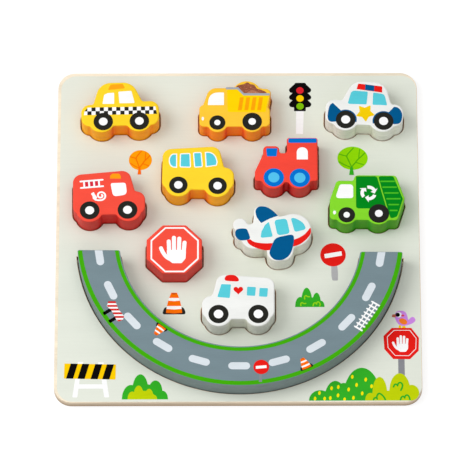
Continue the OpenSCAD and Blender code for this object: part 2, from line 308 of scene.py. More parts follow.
def rounded(corners, radius):
    """A polygon with rounded corners; radius is one number, or a list with one for each corner."""
    count = len(corners)
    radii = radius if isinstance(radius, list) else [radius] * count
    points = []
    for i, corner in enumerate(corners):
        here = Vector(corner)
        before = Vector(corners[i - 1]) - here
        after = Vector(corners[(i + 1) % count]) - here
        reach = radii[i] / math.tan(before.angle(after) / 2)
        # Two corners share the side between them in proportion to their radii
        for side, other in ((before, radii[i - 1]), (after, radii[(i + 1) % count])):
            reach = min(reach, CORNER_SHARE * side.length * radii[i] / (radii[i] + other))
        points += bend(here + before.normalized() * reach, here, here + after.normalized() * reach)
    return points


def spline(points, closed, steps=8):
    """A smooth curve through the points."""
    count = len(points)
    result = []
    for i in range(count if closed else count - 1):
        spots = [i - 1, i, i + 1, i + 2]
        if not closed:
            spots = [min(max(spot, 0), count - 1) for spot in spots]
        a, b, c, d = [Vector(points[spot % count]) for spot in spots]
        for k in range(steps):
            t = k / steps
            point = b + (c - a) * (t / 2) + (a * 2 - b * 5 + c * 4 - d) * (t ** 2 / 2)
            result.append(tuple(point + (b * 3 - c * 3 + d - a) * (t ** 3 / 2)))
    if not closed:
        result.append(points[-1])
    return result


def stroke(path, width, cap_steps=8):
    """The outline of a line of one width along a path, with round ends."""
    points = [Vector(p) for p in path]
    left = []
    right = []
    for i, point in enumerate(points):
        along = (points[min(i + 1, len(points) - 1)] - points[max(i - 1, 0)]).normalized()
        side = Vector((-along.y, along.x)) * (width / 2)
        left.append(tuple(point + side))
        right.append(tuple(point - side))

    def round_end(point, along, turn):
        start = math.degrees(math.atan2(along.y, along.x)) + turn
        return arc(point.x, point.y, width / 2, start, start + 180, cap_steps)[1:-1]

    far = round_end(points[-1], (points[-1] - points[-2]).normalized(), -90)
    near = round_end(points[0], (points[1] - points[0]).normalized(), 90)
    return right + far + list(reversed(left)) + near


def cut(points, lines):
    """The part of a shape that lies to the left of every line; a line runs from one point to another."""
    for start, end in lines:
        a = Vector(start)
        normal = Vector((a.y - end[1], end[0] - a.x))
        kept = []
        for p, q in zip(points, points[1:] + points[:1]):
            here = normal.dot(Vector(p) - a)
            there = normal.dot(Vector(q) - a)
            if here >= 0:
                kept.append(p)
            if here * there < 0:
                share = here / (here - there)
                kept.append((p[0] + (q[0] - p[0]) * share, p[1] + (q[1] - p[1]) * share))
        points = kept
    return points


def hedge(left, right, lobes, step=0.35, lip=0.01):
    """A bush on the line y = 0 with the upper edge of round lobes: middle, top, half width and height."""
    count = int((right - left) / step)
    upper = []
    for k in range(count + 1):
        x = left + (right - left) * k / count
        tops = [0]
        for middle, top, half, height in lobes:
            share = 1 - ((x - middle) / half) ** 2
            if share > 0:
                tops.append(top - height + height * math.sqrt(share))
        upper.append((x, max(tops)))
    return [(left, -lip), (right, -lip)] + list(reversed(upper))


def heights(node):
    """The lowest and highest level of a CAD node, in millimetres."""
    low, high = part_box(node)
    return low.z / MM, high.z / MM


# Materials


def linear(colour, gain=1.0):
    """A screen colour as linear red, green, blue and alpha."""
    values = []
    for part in colour:
        c = part / 255
        c = c / 12.92 if c <= 0.04045 else ((c + 0.055) / 1.055) ** 2.4
        values.append(min(1.0, c * gain))
    return (*values, 1.0)


def grey(level):
    """A neutral linear colour."""
    return (level, level, level, 1.0)


class Tree:
    """The node tree of a material or world, with short calls for the nodes used here."""

    def __init__(self, owner):
        owner.use_nodes = True
        self.owner = owner
        self.nodes = owner.node_tree.nodes
        self.links = owner.node_tree.links

    def feed(self, node, values):
        """Fills inputs of a node: a socket is linked, anything else is set as a constant."""
        for key, value in values.items():
            if isinstance(value, bpy.types.NodeSocket):
                self.links.new(value, node.inputs[key])
            else:
                node.inputs[key].default_value = value

    def add(self, kind, values, output=0, **settings):
        """Adds a node with its settings and inputs, and gives one of its outputs."""
        node = self.nodes.new("ShaderNode" + kind)
        for name, value in settings.items():
            setattr(node, name, value)
        self.feed(node, values)
        return node.outputs[output]

    def grain(self, scale, stretch, detail, offset=0.0):
        """Solid noise drawn out along X, as grain runs; scale is in cycles per metre across the grain."""
        place = self.add("TexCoord", {}, "Object")
        size = (scale / stretch, scale, scale)
        spot = self.add("Mapping", {"Vector": place, "Location": (offset, offset, offset), "Scale": size})
        return self.add("TexNoise", {"Vector": spot, "Scale": 1.0, "Detail": detail}, "Fac")

    def ramp(self, value, *stops):
        """A colour ramp over a value, with (position, linear colour) stops."""
        colour = self.add("ValToRGB", {"Fac": value}, "Color")
        elements = colour.node.color_ramp.elements
        while len(elements) < len(stops):
            elements.new(0.5)
        for element, (position, tone) in zip(elements, stops):
            element.position = position
            element.color = tone
        return colour

    def tones(self, value, colour, *stops):
        """A ramp over one colour, with (position, gain) stops."""
        return self.ramp(value, *[(position, linear(colour, gain)) for position, gain in stops])

    def greys(self, value, *stops):
        """A ramp over neutral colours, with (position, level) stops."""
        return self.ramp(value, *[(position, grey(level)) for position, level in stops])

    def product(self, first, *others):
        """Colours multiplied by each other."""
        # The node has sockets of the same name for each type; these are the numbers of the colour ones
        one, two, result = 6, 7, 2
        for other in others:
            values = {"Factor": 1.0, one: first, two: other}
            first = self.add("Mix", values, result, data_type="RGBA", blend_type="MULTIPLY")
        return first

    def coat(self, colour, gloss, roughness, specular, relief=None, depth=0):
        """Sets the main shader: roughness is spread over a gloss value, and relief is a height value."""
        spread = {"Value": gloss, "From Min": NOISE_RANGE[0], "From Max": NOISE_RANGE[1],
                  "To Min": roughness[0], "To Max": roughness[1]}
        values = {"Base Color": colour, "Roughness": self.add("MapRange", spread),
                  "Specular IOR Level": specular}
        if relief:
            bump = {"Strength": RELIEF_STRENGTH, "Distance": depth * MM, "Height": relief}
            values["Normal"] = self.add("Bump", bump)
        self.feed(self.nodes["Principled BSDF"], values)
        return self.owner


def new_tree(name):
    """The node tree of a new material."""
    return Tree(bpy.data.materials.new(name))


def ink_finish(name, colour):
    """Satin screen print: nearly even colour, with the wood's grain just showing in tone and gloss."""
    tree = new_tree(name)
    fibres = tree.grain(1400, 12, 4)
    tone = tree.tones(tree.grain(90, 3, 2, 3.7), colour, (0.32, 0.96), (0.68, 1.02))
    lines = tree.greys(fibres, (0.3, 0.965), (0.6, 1.0))
    return tree.coat(tree.product(tone, lines), fibres, (0.55, 0.66), 0.02, fibres, 0.02)


def soil_finish(name, colour):
    """Printed soil: an even brown with small pale and dark specks."""
    tree = new_tree(name)
    specks = tree.grain(900, 1.2, 2, 8.3)
    tone = tree.tones(specks, colour, (0.34, 0.66), (0.42, 1.0), (0.6, 1.0), (0.66, 2.1))
    return tree.coat(tone, specks, (0.55, 0.66), 0.06)


def hollow_shade(tree, colour):
    """Painted shade: a deeper, purer tone in a block's own hollows, where its walls shade and tint each
    other.
    """
    reach = {"Distance": HOLLOW_SHADE_REACH * MM}
    hollow = tree.add("AmbientOcclusion", reach, "AO", samples=16, only_local=True)
    parts = linear(colour)[:3]
    pure = [(part / max(parts)) ** HOLLOW_SHADE_PURITY for part in parts]
    deep = [HOLLOW_SHADE_TONE * part for part in pure]
    return tree.ramp(hollow, (0.55, (*deep, 1.0)), (0.85, (*pure, 1.0)), (1.0, grey(1.0)))


def stain_finish(name, colour):
    """Stained solid wood: streaks along the grain, darker pores, a dull sheen, and painted shade in the
    block's hollows.
    """
    tree = new_tree(name)
    streaks = tree.grain(420, 16, 5)
    pores = tree.grain(2600, 18, 3, 1.3)
    tone = tree.tones(streaks, colour, (0.28, 0.86), (0.47, 0.98), (0.7, 1.06))
    specks = tree.greys(pores, (0.32, 0.88), (0.46, 1.0))
    cloud = tree.greys(tree.grain(70, 4, 2, 5.1), (0.3, 0.94), (0.7, 1.0))
    mixed = tree.product(tone, specks, cloud, hollow_shade(tree, colour))
    return tree.coat(mixed, streaks, (0.42, 0.55), 0.12, pores, 0.05)


def tray_print_finish():
    """Pale print on plywood: a dull satin sheet with the veneer's grain faintly under it."""
    tree = new_tree("tray_print")
    fibres = tree.grain(900, 22, 4)
    tone = tree.tones(tree.grain(60, 9, 3, 2.2), TRAY_PRINT, (0.3, 0.98), (0.7, 1.01))
    lines = tree.greys(fibres, (0.32, 0.985), (0.55, 1.0))
    return tree.coat(tree.product(tone, lines), fibres, (0.55, 0.66), 0.08, fibres, 0.02)


def ply_layers(tree):
    """Tone of plies by height: every second ply shows darker end grain, with glue lines between, and
    painted shade darkens the edge towards the bottom.
    """
    height = tree.add("SeparateXYZ", {"Vector": tree.add("TexCoord", {}, "Object")}, "Z")
    plies = tree.add("Math", {0: height, 1: 1 / (2 * PLY_T * MM)}, operation="MULTIPLY")
    share = tree.add("Math", {0: plies}, operation="FRACT")
    glue = (0.7, 0.64, 0.6, 1.0)
    long_grain = (0.98, 0.95, 0.93, 1.0)
    end_grain = (0.88, 0.82, 0.78, 1.0)
    layers = tree.ramp(share, (0.0, glue), (0.05, long_grain), (0.45, long_grain),
                       (0.5, glue), (0.55, end_grain), (0.95, end_grain), (1.0, glue))
    board_t = heights("tray_panel")[1] * MM
    level = tree.add("Math", {0: height, 1: 1 / board_t}, operation="MULTIPLY")
    # Painted shade: the edge darkens towards the bottom, where the floor shades it
    low_edge_shade = tree.ramp(level, (0.1, (0.5, 0.42, 0.36, 1.0)), (0.95, grey(1.0)))
    return tree.product(layers, low_edge_shade)


def birch_finish(name, layered):
    """Bare sanded birch; layered adds the plies and glue lines that a plywood edge shows, with painted
    shade towards its bottom.
    """
    tree = new_tree(name)
    figure = tree.grain(130, 12, 4, 0.6)
    pores = tree.grain(2200, 20, 3, 4.4)
    tone = tree.tones(figure, BIRCH, (0.3, 0.86), (0.5, 0.96), (0.7, 1.04))
    colour = tree.product(tone, tree.greys(pores, (0.33, 0.88), (0.47, 1.0)))
    if layered:
        colour = tree.product(colour, ply_layers(tree))
    return tree.coat(colour, figure, (0.58, 0.72), 0.15, pores, 0.04)


def scorch_finish(name, colour):
    """Wood browned by the cut: uneven and dull."""
    tree = new_tree(name)
    smoke = tree.grain(240, 3, 4, 7.7)
    streaks = tree.grain(1500, 10, 3, 2.9)
    tone = tree.tones(smoke, colour, (0.3, 0.66), (0.55, 1.0), (0.75, 1.35))
    lines = tree.greys(streaks, (0.3, 0.85), (0.6, 1.0))
    return tree.coat(tree.product(tone, lines), smoke, (0.7, 0.85), 0.5, streaks, 0.05)


INK_FINISH = {name: ink_finish("ink_" + name, colour) for name, colour in INKS.items()}
INK_FINISH.update({name: soil_finish("speckled_" + name, colour) for name, colour in SOILS.items()})
STAIN_FINISH = {slot: stain_finish(slot + "_stain", colour) for slot, colour in STAINS.items()}
TRAY_FINISH = tray_print_finish()
FACE_FINISH = birch_finish("birch_face", False)
EDGE_FINISH = birch_finish("birch_edge", True)
RIM_FINISH = scorch_finish("scorched_rim", SCORCH)
POCKET_FINISH = scorch_finish("scorched_and_shaded_pocket", SHADED_DEEP_SCORCH)


# Solids


def outlines(node, height):
    """The loops around a CAD node's flat face at a height, widest first, with the solid on their left."""
    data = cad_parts[node].data
    edges = {}
    for polygon in data.polygons:
        corners = [data.vertices[i].co for i in polygon.vertices]
        level = all(abs(corner.z / MM - height) <= FLAT_LIMIT for corner in corners)
        if not level or polygon.normal.z < 0:
            continue
        keys = [(round(corner.x / MM, 3), round(corner.y / MM, 3)) for corner in corners]
        for a, b in zip(keys, keys[1:] + keys[:1]):
            if a in edges.get(b, []):
                edges[b].remove(a)
            else:
                edges.setdefault(a, []).append(b)
    loops = []
    while any(edges.values()):
        start = next(a for a, ends in edges.items() if ends)
        loop = [start]
        point = edges[start].pop()
        while point != start:
            loop.append(point)
            point = edges[point].pop()
        loops.append(loop)
    return sorted(loops, key=lambda loop: max(loop)[0] - min(loop)[0], reverse=True)


def inset(loop, distance):
    """The loop moved towards the solid on its left."""
    if distance == 0:
        return loop
    points = [Vector(p) for p in loop]
    result = []
    for i, point in enumerate(points):
        before = (point - points[i - 1]).normalized()
        after = (points[(i + 1) % len(points)] - point).normalized()
        side = Vector((-before.y - after.y, before.x + after.x)).normalized()
        share = max(MITRE_LIMIT, side.dot(Vector((-after.y, after.x))))
        result.append(tuple(point + side * (distance / share)))
    return result


def add_ring(mesh, loop, height):
    """A ring of vertices along a loop."""
    return [mesh.verts.new((x * MM, y * MM, height * MM)) for x, y in loop]


def join_rings(mesh, lower, upper, material, smooth=True):
    """A band of faces from one ring up to the next."""
    for i in range(len(lower)):
        j = (i + 1) % len(lower)
        face = mesh.faces.new((lower[i], lower[j], upper[j], upper[i]))
        face.material_index = material
        face.smooth = smooth


def add_wall(mesh, loop, profile):
    """Rings along a loop, joined from the first up; a profile entry is inset, height and band material."""
    rings = []
    for push, height, material in profile:
        ring = add_ring(mesh, inset(loop, push), height)
        if rings:
            join_rings(mesh, rings[-1], ring, material)
        rings.append(ring)
    return rings


def cap(mesh, ring, material, facing_up):
    """One flat face over a ring."""
    face = mesh.faces.new(ring if facing_up else list(reversed(ring)))
    face.material_index = material


def fill(mesh, rings, material, facing_up):
    """Flat triangles between an outer ring and the rings of its holes."""
    flat = [vertex for ring in rings for vertex in ring]
    for corners in tessellate_polygon([[vertex.co for vertex in ring] for ring in rings]):
        a, b, c = [flat[i] for i in corners]
        upward = (b.co - a.co).cross(c.co - a.co).z > 0
        face = mesh.faces.new((a, b, c) if upward == facing_up else (a, c, b))
        face.material_index = material


def edge_round(radius):
    """Steps round an edge from the straight wall on: the inset, and the distance left to the flat face."""
    steps = []
    for k in range(EDGE_STEPS + 1):
        a = math.radians(90 * k / EDGE_STEPS)
        steps.append((radius * (1 - math.cos(a)), radius * (1 - math.sin(a))))
    return steps


def foot_profile(radius, bottom, material):
    """A rounded lower edge, from the underside to the straight wall."""
    return [(push, bottom + left, material) for push, left in reversed(edge_round(radius))]


def rim_profile(radius, top, low_material, high_material, share):
    """A rounded upper edge; the lower share of it has the low material."""
    entries = []
    for k, (push, left) in enumerate(edge_round(radius)):
        material = low_material if k <= share * EDGE_STEPS else high_material
        entries.append((push, top - left, material))
    return entries


def add_object(name, data):
    """A new object in the scene."""
    thing = bpy.data.objects.new(name, data)
    bpy.context.scene.collection.objects.link(thing)
    return thing


def mesh_object(name, mesh, finishes):
    """A new object from a mesh and its materials."""
    data = bpy.data.meshes.new(name)
    mesh.to_mesh(data)
    mesh.free()
    for finish in finishes:
        data.materials.append(finish)
    return add_object(name, data)


def make_piece(name, mesh, finishes, body, nodes=()):
    """Turns a mesh into an object that rides on a body and may stand for CAD nodes."""
    piece = mesh_object(name, mesh, finishes)
    piece.data.set_sharp_from_angle(angle=math.radians(SHARP_ANGLE))
    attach(piece, body)
    if nodes:
        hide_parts(*nodes)


def make_block(node, ink, slot, loop=None, edge_r=TOP_EDGE_R):
    """A loose block: printed top, stained sides and rounded edges."""
    bottom, top = heights(node)
    printed, stained = range(2)
    mesh = bmesh.new()
    profile = foot_profile(FOOT_EDGE_R, bottom, stained)
    profile += rim_profile(edge_r, top, stained, printed, STAINED_EDGE)
    rings = add_wall(mesh, loop or outlines(node, top)[0], profile)
    cap(mesh, rings[0], stained, False)
    cap(mesh, rings[-1], printed, True)
    make_piece(node + "_block", mesh, [INK_FINISH[ink], STAIN_FINISH[slot]], node, [node])


def board_loop():
    """The board's round-cornered outline."""
    low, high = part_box("tray_panel")
    return rounded_box(low.x / MM, low.y / MM, high.x / MM, high.y / MM, BOARD_CORNER_R)


def make_backing():
    """The solid sheet under the tray."""
    bottom, top = heights("backing_board")
    face, edge = range(2)
    mesh = bmesh.new()
    rings = add_wall(mesh, board_loop(), foot_profile(BOARD_EDGE_R, bottom, edge) + [(0, top, edge)])
    cap(mesh, rings[0], face, False)
    cap(mesh, rings[-1], face, True)
    make_piece("backing_sheet", mesh, [FACE_FINISH, EDGE_FINISH], "board", ["backing_board"])


def make_tray():
    """The pocketed sheet: bare rounded edge, printed face and scorched pocket walls, darker lower down as
    painted shade.
    """
    bottom, top = heights("tray_panel")
    low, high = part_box("tray_panel")
    face, bare, edge, rim, deep = range(5)
    mesh = bmesh.new()
    edge_profile = [(0, bottom, edge)] + rim_profile(BOARD_EDGE_R, top, edge, bare, LAYERED_EDGE)
    outer = add_wall(mesh, board_loop(), edge_profile)
    printed = rounded_box(low.x / MM + PRINT_MARGIN["left"], low.y / MM + PRINT_MARGIN["front"],
                          high.x / MM - PRINT_MARGIN["right"], high.y / MM - PRINT_MARGIN["back"],
                          PRINT_CORNER_R)
    upper = [add_ring(mesh, printed, top)]
    lower = [outer[0]]
    join_rings(mesh, outer[-1], upper[0], bare, smooth=False)
    for number, pocket in enumerate(outlines("tray_panel", top)[1:]):
        wall = add_wall(mesh, pocket, [(0, top - POCKET_EDGE_R, rim), (POCKET_EDGE_R, top, rim)])
        # The widest pocket, the road's, keeps straight walls
        ledge = moved(inset(pocket, -LEDGE_REACH), *LEDGE_MOVE) if number else pocket
        # The lower walls take the darker scorch, which is partly painted shade
        walls = add_wall(mesh, ledge, [(0, bottom, deep), (0, top - LEDGE_DEPTH, deep)])
        join_rings(mesh, walls[-1], wall[0], deep)
        scorched = add_ring(mesh, inset(pocket, POCKET_EDGE_R + POCKET_SCORCH), top)
        join_rings(mesh, wall[-1], scorched, rim, smooth=False)
        lower.append(walls[0])
        upper.append(scorched)
    fill(mesh, upper, face, True)
    fill(mesh, lower, bare, False)
    finishes = [TRAY_FINISH, FACE_FINISH, EDGE_FINISH, RIM_FINISH, POCKET_FINISH]
    make_piece("tray_sheet", mesh, finishes, "board", ["tray_panel"])


def road_end(side):
    """The road's end on side 1 or -1, from the bend's centre: two corners and where their rounding ends."""
    corners = []
    for radius in (ROAD_OUTER_R, ROAD_INNER_R):
        reach = math.degrees(math.acos(ROAD_END_DROP / radius))
        corners.append(Vector(polar(0, 0, radius, ROAD_FRONT + side * reach)))
    outer, inner = corners
    across = (inner - outer).normalized() * ROAD_CORNER_R
    return outer, inner, outer + across, inner - across


def road_loop():
    """The road's outline: two arcs about one centre, with straight ends in line and rounded corners."""
    arcs = []
    for radius in (ROAD_OUTER_R, ROAD_INNER_R):
        reach = math.degrees(math.acos(ROAD_END_DROP / radius) - ROAD_CORNER_R / radius)
        steps = int(2 * reach / ROAD_ARC_STEP)
        arcs.append(arc(0, 0, radius, ROAD_FRONT - reach, ROAD_FRONT + reach, steps))
    outer, inner = arcs
    inner.reverse()
    right_outer, right_inner, right_a, right_b = road_end(1)
    left_outer, left_inner, left_a, left_b = road_end(-1)
    loop = outer + bend(outer[-1], right_outer, right_a)[1:] + bend(right_b, right_inner, inner[0])
    loop += inner[1:] + bend(inner[-1], left_inner, left_b)[1:] + bend(left_a, left_outer, outer[0])[:-1]
    return moved(loop, *ROAD_CENTRE)


# Prints


class Print:
    """Ink plates on one flat face, gathered in one object that rides on one body."""

    def __init__(self, name, body, slot, centre, height):
        self.name = name
        self.body = body
        self.slot = slot
        self.centre = centre
        self.height = height
        self.mesh = bmesh.new()
        self.inks = []

    def add(self, ink, points, layer=0):
        """One closed shape in one ink, from the print's centre; higher layers cover lower ones."""
        if len(points) < 3:
            return
        if ink not in self.inks:
            self.inks.append(ink)
        material = self.inks.index(ink)
        loop = moved(points, *self.centre)
        if sum(a[0] * b[1] - a[1] * b[0] for a, b in zip(loop, loop[1:] + loop[:1])) < 0:
            loop.reverse()
        lower = add_ring(self.mesh, loop, self.height - INK_SINK)
        upper = add_ring(self.mesh, loop, self.height + INK_T + INK_LAYER * layer)
        join_rings(self.mesh, lower, upper, material, smooth=False)
        cap(self.mesh, lower, material, False)
        cap(self.mesh, upper, material, True)

    def patch(self, ink, corners, radius, layer=0):
        """A polygon with rounded corners."""
        self.add(ink, rounded(corners, radius), layer)

    def blob(self, ink, points, layer=0):
        """A smooth closed shape."""
        self.add(ink, spline(points, True), layer)

    def curls(self, ink, paths, width, layer):
        """Smooth lines that may cross the ones drawn just before and after them."""
        for number, path in enumerate(paths):
            self.add(ink, stroke(spline(path, False), width), layer + number % 2)

    def wheel(self, x, y, tyre, hub, tyre_ink="black", hub_ink="white"):
        """A printed wheel: a tyre with a plain hub."""
        self.add(tyre_ink, disc(x, y, tyre), 2)
        self.add(hub_ink, disc(x, y, hub), 3)

    def finish(self):
        """Makes the object."""
        finishes = [INK_FINISH[ink] for ink in self.inks]
        make_piece(self.name, self.mesh, finishes, self.body)


def make_print(name, body, slot, centre, height, draw, *details):
    """Draws one print and makes its object."""
    art = Print(name + "_print", body, slot, centre, height)
    draw(art, *details)
    art.finish()


def slanted(x, width, lean, low, high):
    """A stripe that leans to the right."""
    return [(x, low), (x + width, low), (x + width + lean, high), (x + lean, high)]


def draw_taxi(art):
    rear_window = [(-14.8, 2.9), (-13.5, 11.3), (-10.6, 12.9), (-5.2, 13.3), (-5.1, 3.0)]
    art.patch("white", rear_window, [0.6, 1.2, 2.5, 0.8, 0.5])
    art.patch("white", [(-0.7, 3.5), (-1.7, 14.2), (9.1, 15.1), (12.0, 3.7)], [0.6, 0.8, 1.2, 0.9])
    roof_light = [(-10.2, 15.9), (-8.4, 20.9), (2.0, 21.5), (3.8, 17.4)]
    art.patch("light_orange", roof_light, [0.6, 1.8, 1.2, 0.8])
    columns, cell, slope = 18, 3.43, 1.07
    first, middle = -30.8, -3.5
    ends = [((-27.2, -0.8), (-29.6, -4.0)), ((-29.6, -4.0), (-30.2, -7.6)), ((30.7, -7.2), (29.2, 0.2))]
    band = turned(rectangle(first, middle - cell, first + columns * cell, middle + cell), slope)
    art.add("white", cut(band, ends))
    for column in range(columns):
        x = first + column * cell
        y = middle - column % 2 * cell
        art.add("black", cut(turned(rectangle(x, y, x + cell, y + cell), slope), ends), 1)
    art.wheel(-14.0, -13.5, 8.05, 3.6)
    art.wheel(16.0, -13.0, 8.05, 3.6)


def draw_dump_truck(art):
    window = [(-22.6, 1.2), (-21.5, 12.9), (-9.2, 12.9), (-9.2, 1.2)]
    art.patch("white", window, [0.5, 9.0, 0.7, 0.5])
    art.add("white", ellipse(-26.8, -11.4, 1.0, 1.7))
    box = [(-6.2, -5.3), (25.4, -5.4), (28.2, 10.8), (7.0, 10.8), (2.1, 16.4), (-6.6, 16.4)]
    art.patch("box_yellow", box, [2.0, 0.6, 0.3, 0.3, 0.3, 0.3])
    first, pitch = 2.4, 5.35
    for k in range(4):
        art.add("stripe_orange", slanted(first + pitch * k, 3.1, 1.7, -3.7, 8.3), 1)
    heap = [(1.0, 18.0), (3.2, 19.7), (7.2, 20.6), (10.3, 22.2), (12.7, 20.7), (16.0, 19.7), (18.4, 16.4),
            (21.9, 15.2), (26.0, 12.4), (16.0, 11.0), (7.4, 11.6), (3.5, 16.0)]
    art.blob("soil", heap, 1)
    art.blob("pale_soil", [(10.3, 12.0), (12.1, 14.4), (15.0, 14.9), (17.9, 13.9), (20.5, 12.0)], 2)
    art.add("rim_grey", stroke([(-6.7, 16.7), (2.3, 16.7), (7.2, 11.1), (28.0, 11.0)], 2.1), 3)
    art.wheel(-14.7, -15.1, 6.65, 2.55)
    art.wheel(14.2, -14.2, 8.1, 3.1)


def draw_police_car(art):
    art.patch("cyan", [(-13.7, 2.4), (-10.3, 14.9), (3.3, 13.6), (2.0, 1.8)], [1.4, 4.0, 1.2, 1.2])
    art.patch("cyan", [(7.0, 1.5), (7.7, 12.8), (17.0, 11.4), (19.2, 0.9)], [0.9, 0.8, 4.2, 0.9])
    light_bar = [(-6.1, 16.1), (-4.7, 21.3), (15.3, 18.5), (15.2, 12.8)]
    art.patch("signal_red", light_bar, [0.3, 1.3, 1.2, 0.3])
    art.add("navy", [(1.2, 20.5), (8.8, 19.3), (8.5, 14.1), (0.9, 15.2)], 1)
    front_fender = [(-26.0, 3.3), (-28.5, 1.1), (-29.9, -4.0), (-30.5, -9.8), (-29.4, -13.3),
                    (-26.8, -14.3)]
    art.add("navy", spline(front_fender, False) + [(-20.0, -13.8), (-18.6, -4.5)])
    rear_fender = [(24.9, -0.5), (27.5, -1.0), (30.0, -3.3), (31.5, -7.4), (30.9, -12.8), (29.0, -15.8),
                   (25.6, -16.7)]
    art.add("navy", spline(rear_fender, False) + [(18.0, -15.5), (20.0, -6.0)])
    for x, y, start, end in ((-15.5, -12.2, -15, 130), (16.0, -13.7, 55, 195)):
        art.add("navy", ring_part(x, y, 7.0, 9.2, start, end), 1)
        art.wheel(x, y, 8.2, 3.75)
    art.patch("star_yellow", star(0.8, -6.0, 8.5, 4.75, -87), 0.7)


def draw_fire_engine(art):
    middle, lean = (-14.3, 11.1), 5.0
    half_gap, half_l, rail, rungs = 2.95, 9.2, 1.5, (-6.3, -2.2, 1.9, 6.0)

    def ladder(points):
        return moved(turned(points, lean), *middle)

    art.add("dark_red", ladder(rectangle(rungs[0], -half_gap, rungs[-1], half_gap)))
    for y in (-half_gap, half_gap):
        art.add("white", ladder(stroke([(-half_l, y), (half_l, y)], rail)), 1)
    for x in rungs:
        art.add("white", ladder(rectangle(x - rail / 2, -half_gap, x + rail / 2, half_gap)), 2)
    hose_r, growth, first, sweep, steps = 1.0, 3.3, 402, 500, 40
    shares = [k / steps for k in range(steps + 1)]
    hose = [polar(-6.7, 0.4, hose_r + growth * share, first - sweep * share) for share in shares]
    art.add("white", stroke(hose + [(-9.1, -3.9), (-11.2, -3.4)], rail))
    nozzle = [(-14.9, 2.1), (-12.6, 3.7), (-11.7, 1.6), (-9.7, -1.3), (-11.0, -3.9), (-13.2, -2.7),
              (-13.6, -0.2)]
    art.patch("white", nozzle, 0.5, 1)
    roof_light = [(0.7, 15.9), (0.8, 18.5), (2.6, 20.5), (8.2, 20.5), (9.6, 18.2), (9.7, 15.9)]
    art.patch("orange", roof_light, [0.3, 1.5, 1.8, 1.8, 1.5, 0.3])
    art.patch("white", [(1.1, 11.7), (13.7, 12.2), (14.9, 1.2), (3.4, -0.6)], [1.8, 2.4, 4.2, 3.6])
    art.wheel(-15.8, -13.1, 8.1, 3.7)
    art.wheel(15.4, -12.7, 8.1, 3.65)


def draw_school_bus(art):
    rear_curve = [(-18.2, 15.6), (-20.9, 15.4), (-22.7, 13.2), (-23.3, 10.2), (-22.7, 7.0), (-20.9, 4.9),
                  (-18.2, 4.5)]
    panes = [
        spline(rear_curve, False),
        rounded([(-7.2, 16.1), (-14.1, 15.8), (-14.3, 4.7), (-6.7, 4.5)], 0.6),
        rounded([(2.1, 17.0), (-3.3, 16.8), (-2.3, 4.5), (3.1, 4.9)], 0.6),
        bend((15.3, 8.6), (14.2, 16.8), (8.4, 17.2)) + [(6.6, 17.1), (7.2, 5.0), (14.7, 6.1)],
    ]
    border = 0.9
    for pane in panes:
        art.add("white", inset(pane, -border))
        art.add("cyan", pane, 1)
    art.wheel(-16.2, -12.3, 7.6, 3.5)
    art.wheel(16.2, -13.1, 7.6, 3.5)


def draw_steam_train(art):
    art.patch("train_blue", rectangle(1.8, 18.5, 25.3, 22.6), [0.9, 0.9, 1.6, 1.6])
    middle, half, sill, spring = 13.3, 4.6, 3.2, 9.8
    art.add("white", [(middle - half, sill), (middle + half, sill)] + arc(middle, spring, half, 0, 180))
    chimney = [(-15.9, 6.1), (-8.0, 6.1), (-7.2, 13.6), (-16.7, 13.6)]
    art.patch("train_blue", chimney, [0.4, 0.4, 1.0, 1.0])
    for x, y in ((-10.4, -13.3), (11.1, -13.7)):
        art.wheel(x, y, 8.4, 4.65, "train_blue", "sky_blue")


def arrow_ring(art, cx, cy, radius, width, count=3):
    """Curved white arrows that chase each other round a circle."""
    first, sweep, tip_sweep = 100, 70, 36
    head, droop = 1.15 * width, 0.1 * width
    for k in range(count):
        start = first - 360 * k / count
        end = start - sweep
        tip = polar(cx, cy, radius - droop, end - tip_sweep)
        shape = arc(cx, cy, radius + width / 2, start, end, 10)
        shape += [polar(cx, cy, radius + head, end), tip, polar(cx, cy, radius - head, end)]
        art.add("white", shape + arc(cx, cy, radius - width / 2, end, start, 10), 1)


def draw_recycling_truck(art):
    window = [(-26.3, 1.2), (-22.3, 13.9), (-11.3, 13.8), (-11.4, 1.3)]
    art.patch("white", window, [2.8, 2.6, 3.2, 2.2])
    art.add("white", ellipse(-27.0, -11.8, 1.2, 1.7))
    box = [(-9.2, -8.2), (15.9, -8.2), (8.3, 21.2), (-9.0, 21.2)]
    art.patch("dark_green", box, [2.6, 0.4, 2.4, 0.6])
    hopper = [(9.4, 21.2), (21.9, 21.2), (29.5, 0.4), (24.6, -15.6), (19.2, -17.7), (16.8, -8.2)]
    art.patch("dark_green", hopper, [1.8, 2.4, 2.4, 3.4, 2.6, 0.5])
    ribs = ((11.7, 22.5), (13.3, 24.2), (14.9, 25.5), (16.5, 27.1), (18.0, 25.7), (19.0, 24.4))
    first, pitch = 16.5, 5.32
    for k, (left, right) in enumerate(ribs):
        y = first - pitch * k
        art.add("leaf_line", stroke([(left, y), (right, y)], 1.3), 1)
    arrow_ring(art, 1.3, 5.9, 5.3, 2.8)
    art.wheel(-17.0, -14.0, 6.9, 2.6)
    art.wheel(9.5, -12.8, 8.5, 3.2)


